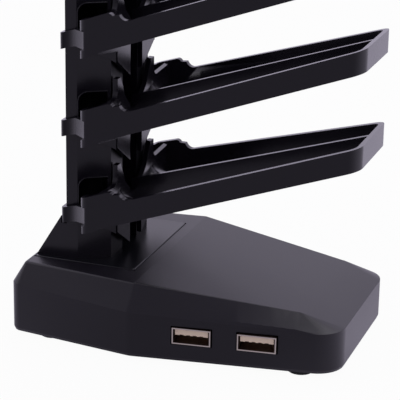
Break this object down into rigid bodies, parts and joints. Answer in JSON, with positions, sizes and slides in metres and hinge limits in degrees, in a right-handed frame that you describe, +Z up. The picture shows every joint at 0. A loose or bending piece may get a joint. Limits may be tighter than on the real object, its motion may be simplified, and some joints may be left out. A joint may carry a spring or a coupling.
{
  "type": "controller stand",
  "caption": "Tower stand for game controllers: wedge base with side sockets, windowed column and tapering open arms hooked round it.",
  "frame": {"origin": "on the resting plane, under the middle of the stand's bounding box", "axes": "+X from the column towards the arms' tips, +Z up, -Y the side with the sockets"},
  "size_m": [0.1168, 0.0818, 0.1386],
  "materials": {
    "black_satin": "satin, fine grain",
    "black_gloss": "moulded, soft gloss",
    "rubber": "matte",
    "steel": "stamped sheet",
    "screw_steel": "zinc plated",
    "board": "solder mask",
    "chip": "moulded",
    "tongue": "moulded",
    "contact": "plated",
    "wire": "insulation"
  },
  "bodies": {
    "root": {"base_shell": "black_satin", "bottom_cover": "black_satin", "cover_screws": "screw_steel", "foot_rear_left": "rubber", "foot_rear_right": "rubber", "foot_front_left": "rubber", "foot_front_right": "rubber", "hub_board": "board", "hub_chip": "chip", "board_screws": "screw_steel", "socket_shell_1": "steel", "socket_shell_2": "steel", "socket_tongue_1": "tongue", "socket_tongue_2": "tongue", "socket_contacts_1": "contact", "socket_contacts_2": "contact", "inlet_board": "board", "inlet_shell": "steel", "inlet_tongue": "chip", "hub_wires": "wire", "column": "black_gloss", "column_screws": "screw_steel", "column_cap": "black_gloss", "arm_1": "black_gloss", "arm_2": "black_gloss", "arm_3": "black_gloss"}
  },
  "joints": []
}
